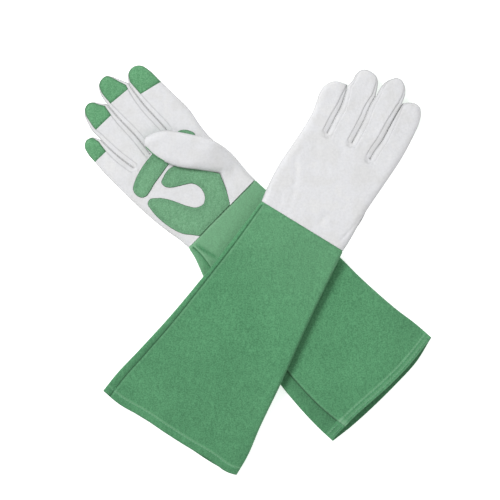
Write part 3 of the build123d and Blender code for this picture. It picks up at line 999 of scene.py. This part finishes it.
def build_patch(glove, name, outline):
    """A suede patch sewn on the palm, with rounded edges and a sunk line of stitches."""
    spread = Spread()
    spread.line(outline, closed=True)
    inward = side_normals(np.vstack([outline[-1:], outline, outline[:1]]))[1:-1]
    if not inside(outline[:1] + inward[:1] * 0.5, outline)[0]:
        inward = -inward
    edges = segments(np.vstack([outline, outline[:1]]))
    rows = [(0.25, 0.2), (0.6, 0.35), (1.2, 0.5), (2.0, 0.7), (SEWING, 0.7), (3.2, 0.7), (4.2, 1.0)]
    spread.rows(outline, inward, [(deep, 1, gap) for deep, gap in rows], outline, edges, share=0.93)
    spread.fill(outline, edges, margin=4.5)
    plan, triangles = spread.triangles(outline)
    edge = distance(plan, *edges)
    lift = 0.05 + (PATCH + 0.15) * rounded(edge, 0.7)
    lift -= 0.4 * bell(edge - SEWING, 0.5)
    lift += 0.12 * ripple(plan[:, 0], plan[:, 1], 12, 31) * smoothstep(0, 3, edge)
    outer = glove.point(plan, glove.height(plan, True, lift))
    under = glove.point(plan, glove.height(plan, True, 0.02))
    upper, lower = (outer, under) if glove.palm > 0 else (under, outer)
    skin = Skin(plan, triangles, edge < 1e-3, upper, lower)
    # painted shade along the patch's edge and in its sunk stitch line
    painted_light_and_tone = skin.on_both(-(0.6 * smoothstep(1.3, 0.2, edge) + 0.35 * bell(edge - SEWING, 0.7)))
    piece = make_piece(f"{glove.name}_{name}", skin.points, skin.faces, PATCH_SUEDE, None, painted_light_and_tone)
    sewing = outline + inward * SEWING
    sewing = sewing[inside(sewing, outline) & (distance(sewing, *edges) > SEWING - 0.15)]
    sewing = np.vstack([sewing, sewing[:1]])
    line = glove.point(sewing, glove.height(sewing, True, PATCH - 0.2))
    up = np.tile(UP * glove.palm, (len(line), 1))
    return piece, stitches(f"{glove.name}_{name}_stitches", line, up)


def build_patches(glove):
    """The knuckle bar and the horseshoe, with their stitches."""
    side = glove.name
    bar, thread_row = build_patch(glove, "knuckle_bar", curve(BAR, EDGE_STEP, closed=True))
    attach(bar, f"{side}_hand")
    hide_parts(f"{side}_knuckle_bar_patch")
    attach(thread_row, f"{side}_hand")
    shoe, thread_row = build_patch(glove, "horseshoe", horseshoe_outline())
    blend_wrist(shoe)
    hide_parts(f"{side}_horseshoe_patch")
    blend_wrist(thread_row)


# Thumb

# Soft folds on the thumb's back: (line, depth, width)
THUMB_CREASES = [
    ([(36, -29), (24, -29.5), (12, -27), (1, -21)], 0.9, 2.6),
    ([(30, -52), (22, -42), (9, -36)], 0.5, 3.0),
    ([(84, -8), (80, -22), (74, -32)], 0.3, 4.0),
    ([(60, -12), (56, -30), (52, -42)], 0.35, 5.0),
]
# Heights above the hand's middle where the thumb's base starts at the wrist
BASE_EDGE, BASE_BACK, BASE_PAD = 6.3, 7.6, 6.2


def thumb_surface(glove, plan, outline, back_side):
    """Height above the ground of the thumb's back or its pad."""
    u, v = plan.T
    deep = distance(plan, *segments(outline))
    rise = smoothstep(16, 60, u)
    edge_out = THUMB_MIDDLE * smoothstep(24, 64, u)
    edge_in = BASE_EDGE + (THUMB_MIDDLE - BASE_EDGE) * smoothstep(30, 62, u)
    edge = edge_out + (edge_in - edge_out) * smoothstep(-50, -28, v)
    bulge = rounded(deep, 6.0 + 3.0 * smoothstep(20, 50, u))
    if back_side:
        back = BASE_BACK + (THUMB_MIDDLE + HALF_THUMB - BASE_BACK) * rise
        soft = smoothstep(0, 6, deep)
        out = edge + (back - edge) * bulge
        out += soft * (0.3 * ripple(u, v, 30, 41) + 0.1 * ripple(u, v, 8, 42))
        for line, depth, width in THUMB_CREASES:
            out -= soft * crease(plan, line, depth, width)
    else:
        pad = BASE_PAD + (THUMB_MIDDLE - HALF_THUMB - BASE_PAD) * rise
        out = edge - (edge - pad) * bulge
    return glove.middle(plan) + glove.palm * out


def build_thumb(glove):
    """The thumb and its base, folded over the palm, with a suede tip on the pad."""
    side = glove.name
    outline = thumb_outline(glove)
    edges = segments(outline)
    spread = Spread()
    spread.line(outline)
    whole = np.vstack([outline, spread.cut(outline, len(outline) - 1, 0, WRIST_STEP)])
    along = np.array([math.cos(THUMB_TURN), math.sin(THUMB_TURN)])
    forward = np.array([1.0, 0.0])
    cuts = []
    for place, way in ((forward * THUMB_SPLIT, forward), (THUMB_ROOT + along * THUMB_CAP, along)):
        first, last = np.where((outline - place) @ way > 0)[0][[0, -1]]
        spread.cut(outline, int(first), int(last))
        cuts.append((outline[[first, last]], way))
    rows = [(0.35, 1, 0.3), (THUMB_RIM, 1, 0.5), (1.6, 1, 0.6), (2.4, 1, 0.8), (3.8, 2, 1.2), (5.5, 2, 1.4)]
    spread.rows(outline, side_normals(outline), rows, whole, edges, lined=THUMB_RIM)
    spread.fill(whole, edges)
    plan, triangles = spread.triangles(whole)
    back, pad = (glove.point(plan, thumb_surface(glove, plan, outline, way)) for way in (True, False))
    upper, lower = (back, pad) if glove.palm > 0 else (pad, back)
    edge = distance(plan, *edges)
    skin = Skin(plan, triangles, edge < 1e-3, upper, lower)
    normals = vertex_normals(skin.points, skin.faces)
    # the glove's own tone, with painted shade along the thumb's edge
    painted_light_and_tone = skin.on_both(LEATHER_TONE[side] - 0.3 * smoothstep(1.5, 0.2, edge))

    past_split, past_cap = (beyond(skin.centres, *cut) for cut in cuts)
    is_pad = skin.is_upper == (glove.palm < 0)
    rim = distance(skin.centres, *edges) < THUMB_RIM
    towards_palm = (skin.centres - THUMB_ROOT) @ np.array([-along[1], along[0]]) > -2
    tip = past_cap & (is_pad | (rim & towards_palm))
    piece = make_piece(f"{side}_thumb_base", skin.points, skin.faces[~past_split], LEATHER, normals, painted_light_and_tone)
    blend_wrist(piece)
    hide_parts(f"{side}_thumb_gusset")
    leather_faces, tip_faces = skin.faces[past_split & ~tip], skin.faces[past_split & tip]
    piece = make_piece(f"{side}_thumb_leather", skin.points, leather_faces, LEATHER, normals, painted_light_and_tone)
    turn = np.array([[THUMB_SPLIT + 1, THUMB_SIDE], [THUMB_FREE, THUMB_SIDE]])
    axis_height = JOINTS[f"{side}_thumb_swing"]["pos_m"][2] / MM
    start, end = glove.point(turn, np.full(2, axis_height)) * MM
    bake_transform(piece)
    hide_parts(f"{side}_thumb_back", f"{side}_thumb_front")
    piece = make_piece(f"{side}_thumb_tip", skin.points, tip_faces, TIP_SUEDE, normals)
    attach(piece, f"{side}_thumb")
    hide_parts(f"{side}_thumb_tip_patch")


# Cuffs


def cuff_edges(cuff, back):
    """The v of the cuff's little finger's edge and of its thumb's edge."""
    return profile(cuff["side"], back), -profile(cuff["thumb_side"], back)


def cuff_surface(glove, back, share, upper, inset=0.0):
    """Points on the cuff. share runs from 0 at the little finger's edge to 1 at the thumb's."""
    cuff = glove.cuff
    nominal = np.clip(back, 0, CUFF_LENGTH)
    side_edge, thumb_edge = cuff_edges(cuff, nominal)
    tuck = cuff["tuck"] * (1 - smoothstep(0.2, 2.4, back)) + 1.6 * smoothstep(0, -3.5, back)
    side_edge, thumb_edge = side_edge - tuck - inset, thumb_edge + tuck + inset
    side = side_edge + (thumb_edge - side_edge) * share
    deep = np.minimum(side_edge - side, side - thumb_edge)
    level = profile(cuff["level"], nominal)
    arch = cuff["arch"] * smoothstep(178, 250, nominal)
    spot = np.abs(2 * share - 1)
    flat = rounded(deep, 5.0, 2.4)
    if upper:
        shape = flat * (1 - arch) + (1 - spot**2.2) ** 0.9 * arch
        rise = profile(cuff["top"], nominal) - level - tuck
    else:
        shape = flat * (1 - 0.6 * arch) + (1 - spot**5) * 0.6 * arch
        rise = level - profile(cuff["bottom"], nominal) - tuck
    out = np.maximum(rise - inset, 0.15) * shape
    if upper:
        soft = smoothstep(0, 12, deep) * smoothstep(2, 25, back)
        waves = 0.55 * ripple(nominal, side, 75, 51 + glove.palm) + 0.14 * ripple(nominal, side, 16, 53)
        out += soft * waves
        from_seam = side_edge + inset - side - profile(cuff["seam"], nominal)
        present = smoothstep(1.5, 6, back)
        # the panel's folded edge stands over the strip outside it
        out -= present * 1.3 * smoothstep(0.3, -0.3, from_seam) * smoothstep(0, 2.5, deep)
        out += present * 0.5 * bell(from_seam - 1.4, 1.2)
        out -= present * 0.6 * bell(from_seam + 0.6, 0.5) * smoothstep(0, 2, deep)
        roll = cuff["roll"] * smoothstep(120, 215, nominal)
        out += roll * (0.9 * bell(from_seam - 3.5, 2.6) - 1.1 * bell(from_seam - 9.5, 2.8))
        out += roll * 0.8 * tab_shape(nominal, from_seam)
        for line, depth, width in cuff["folds"]:
            out -= crease(np.column_stack([nominal, side]), line, depth, width)
    if inset == 0:
        from_end = CUFF_LENGTH - back
        step = 0.35 * smoothstep(9.6, 8.2, from_end) - 0.35 * bell(from_end - HEM_EDGE, 0.6)
        out += step * smoothstep(0, 3, deep)
        out -= 0.9 * (1 - rounded(np.maximum(from_end, 0), 1.3))
    end = profile(cuff["upper_end" if upper else "lower_end"], side)
    real = back + (end - CUFF_LENGTH) * smoothstep(CUFF_LENGTH - 70, CUFF_LENGTH, back)
    return glove.cuff_point(real, side, level + (out if upper else -out))


def tab_shape(back, from_seam):
    """The turned end of the side seam at the hem, as a height from 0 to 1."""
    along = smoothstep(CUFF_LENGTH - 11, CUFF_LENGTH - 9.8, back)
    return along * smoothstep(-0.3, 0.3, from_seam) * smoothstep(6.3, 5.2, from_seam)


def cuff_tone_and_painted_light(glove, back, share, upper):
    """How much paler (above 0) or darker (below 0) the cuff is painted at each point, mostly painted light
    and shade.
    """
    cuff = glove.cuff
    from_end = CUFF_LENGTH - back
    # paler or darker along the mouth's edge; the left cuff's darker edge is painted shade
    light_and_tone = cuff["rim"] * smoothstep(1.6, 0.2, from_end) * smoothstep(-0.5, 0, from_end)
    # painted light and shade: lighter towards the wrist, darker towards the hem
    light_and_tone += 0.11 * smoothstep(120, 0, back) - 0.07 * smoothstep(110, 240, back)
    # painted light near the wrist, against the shade there and in the wrist seam's groove
    light_and_tone += cuff["pale"] * (smoothstep(75, 20, back) + 0.8 * smoothstep(3.5, 1.0, back))
    # lighter along the hem's rows of stitches
    for place in cuff["hem_lines"]:
        light_and_tone += 0.32 * bell(place - from_end, 1.2)
    if upper:
        nominal = np.clip(back, 0, CUFF_LENGTH)
        side_edge, thumb_edge = cuff_edges(cuff, nominal)
        side = side_edge + (thumb_edge - side_edge) * share
        from_seam = (side_edge - thumb_edge) * share - profile(cuff["seam"], nominal)
        present = smoothstep(1.5, 4, back)
        # painted highlight on the panel's folded edge beside the side seam
        light_and_tone += present * 0.2 * bell(from_seam - 1.2, 0.8)
        # painted shade in the side seam's groove and on the strip outside it
        light_and_tone -= present * 0.7 * bell(from_seam + 0.5, 0.75)
        light_and_tone -= present * 0.06 * smoothstep(-0.2, -1.2, from_seam)
        # lighter on the turned tab at the hem
        light_and_tone += cuff["roll"] * 0.25 * tab_shape(nominal, from_seam)
        # painted shade in the folds
        for line, _, width in cuff["folds"]:
            light_and_tone -= crease(np.column_stack([nominal, side]), line, 0.6, width * 0.8)
    return light_and_tone


def shares(glove, back):
    """Where the cuff's lengthwise lines are at a distance behind the wrist, as shares of its width."""
    side_edge, thumb_edge = cuff_edges(glove.cuff, back)
    width = side_edge - thumb_edge
    edge = np.array([0, 0.12, 0.45, 1.0, 1.9, 3.0])
    by_seam = profile(glove.cuff["seam"], back) + np.array([-1.3, -0.7, -0.25, 0.25, 0.8, 1.6, 2.6, 4.2])
    by_seam = np.maximum(by_seam, edge[-1] + 0.06 * np.arange(1, 9))
    near = np.maximum.accumulate(np.concatenate([edge, by_seam]))
    far = np.array([4.6, 3.0, 1.9, 1.0, 0.45, 0.12, 0])
    middle = np.linspace(near[-1], width - far[0], 50)[1:-1]
    return np.concatenate([near, middle, width - far]) / width


def build_cuff(glove):
    """A cuff's outer skin and lining, with a turned hem and its stitches."""
    side = glove.name
    rows = np.concatenate([[-9, -4, 0, 0.3, 0.8, 1.4, 2.0, 2.6, 4], np.arange(6.5, 246, 2.6)])
    hem_rows = [12.8, 11.4, 10.4, 9.8, HEM_EDGE, 8.8, 8.2, 7.2, 6, 4.6, 3.2, 2.1, 1.3, 0.7, 0.3, 0.08, 0]
    hem_rows = CUFF_LENGTH - np.array(hem_rows)
    rows = np.concatenate([rows[rows < hem_rows[0] - 1.5], hem_rows])
    hem_start = int(np.searchsorted(rows, CUFF_LENGTH - HEM_EDGE - 0.01))

    def loop(back, surface, **inset):
        """One turn round the cuff of a surface's values: over the top, then back beneath."""
        across = shares(glove, float(np.clip(back, 0, CUFF_LENGTH)))
        backs = np.full(len(across), float(back))
        top, bottom = (surface(glove, backs, across, upper, **inset) for upper in (True, False))
        return np.concatenate([top, bottom[-2:0:-1]])

    outer = [loop(back, cuff_surface) for back in rows]
    inner_rows = rows[rows > 0][::-1]
    thick = SKIN + 1.0 * smoothstep(CUFF_LENGTH - 13, CUFF_LENGTH - 9, inner_rows)
    inner = [loop(back, cuff_surface, inset=t) for back, t in zip(inner_rows, thick)]
    size, total = len(outer[0]), len(outer) + len(inner)
    grid = np.vstack(outer + inner)
    hem_end = 2 * len(outer) - 1 - hem_start
    faces, band = [], []
    for r in range(total):  # the last row of the lining closes onto the first of the outer skin
        this, following = r * size, (r + 1) % total * size
        for k in range(size):
            n = (k + 1) % size
            faces.append((this + k, this + n, following + n, following + k))
            band.append(hem_start <= r < hem_end)
    normals = vertex_normals(grid, faces)
    skin = grid[: len(outer) * size]
    if (normals[: len(skin)] * (skin - skin.mean(0))).sum() < 0:
        faces = [f[::-1] for f in faces]
        normals = -normals
    painted_light_and_tone = np.zeros(len(grid))
    painted_light_and_tone[: len(skin)] = np.concatenate([loop(back, cuff_tone_and_painted_light) for back in rows])
    faces, band = np.array(faces), np.array(band)
    panel = make_piece(f"{side}_cuff_suede", grid, faces[~band], CUFF_SUEDE, normals, painted_light_and_tone)
    blend_wrist(panel)
    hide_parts(f"{side}_cuff_palm_panel", f"{side}_cuff_back_panel", f"{side}_cuff_side_seam")
    hem = make_piece(f"{side}_cuff_hem_band", grid, faces[band], CUFF_SUEDE, normals, painted_light_and_tone)
    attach(hem, f"{side}_cuff")
    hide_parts(f"{side}_cuff_hem")

    across = np.linspace(0.03, 0.97, 90)
    for upper, word in ((True, "upper"), (False, "lower")):
        up = np.tile(UP * (1 if upper else -1), (len(across), 1))
        for k, place in enumerate(glove.cuff["hem_lines"]):
            backs = np.full(len(across), CUFF_LENGTH - place + 0.9)
            line = cuff_surface(glove, backs, across, upper)
            row = stitches(f"{side}_hem_stitches_{word}_{k + 1}", line, up)
            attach(row, f"{side}_cuff")


for glove in (
    Glove("right", RIGHT_RUNS, RIGHT_SLITS, RIGHT_CUFF),
    Glove("left", LEFT_RUNS, LEFT_SLITS, LEFT_CUFF),
):
    build_hand(glove)
    build_patches(glove)
    build_thumb(glove)
    build_cuff(glove)


# Floor and light

FLOOR = 3.0  # half its side, in metres
FLOOR_LEVEL = -0.0005
floor_material = bpy.data.materials.new("floor")
floor_material.use_nodes = True
floor_shader = floor_material.node_tree.nodes["Principled BSDF"]
floor_shader.inputs["Base Color"].default_value = (0.9, 0.9, 0.9, 1)
floor_shader.inputs["Roughness"].default_value = 0.9
floor_shader.inputs["Emission Color"].default_value = (1, 1, 1, 1)
floor_shader.inputs["Emission Strength"].default_value = 0.6
floor_mesh = bpy.data.meshes.new("floor")
corners = [(x * FLOOR, y * FLOOR, 0) for x, y in ((-1, -1), (1, -1), (1, 1), (-1, 1))]
floor_mesh.from_pydata(corners, [], [(0, 1, 2, 3)])
floor_mesh.materials.append(floor_material)
floor = bpy.data.objects.new("floor", floor_mesh)
floor.location.z = FLOOR_LEVEL
bpy.context.scene.collection.objects.link(floor)

world = bpy.data.worlds.new("studio")
world.use_nodes = True
world.node_tree.nodes["Background"].inputs["Color"].default_value = (1, 1, 1, 1)
world.node_tree.nodes["Background"].inputs["Strength"].default_value = 0.52
bpy.context.scene.world = world


def area_light(name, place, size, power):
    """A soft light aimed at the middle of the gloves."""
    data = bpy.data.lights.new(name, "AREA")
    data.size, data.energy = size, power
    made = bpy.data.objects.new(name, data)
    made.location = place
    made.rotation_euler = (-Vector(place)).to_track_quat("-Z", "Y").to_euler()
    bpy.context.scene.collection.objects.link(made)


area_light("key", (-1.3, 1.0, 2.3), 1.0, 59)
area_light("fill", (1.6, -1.4, 2.4), 1.6, 12)
bpy.context.scene.view_settings.view_transform = "Standard"
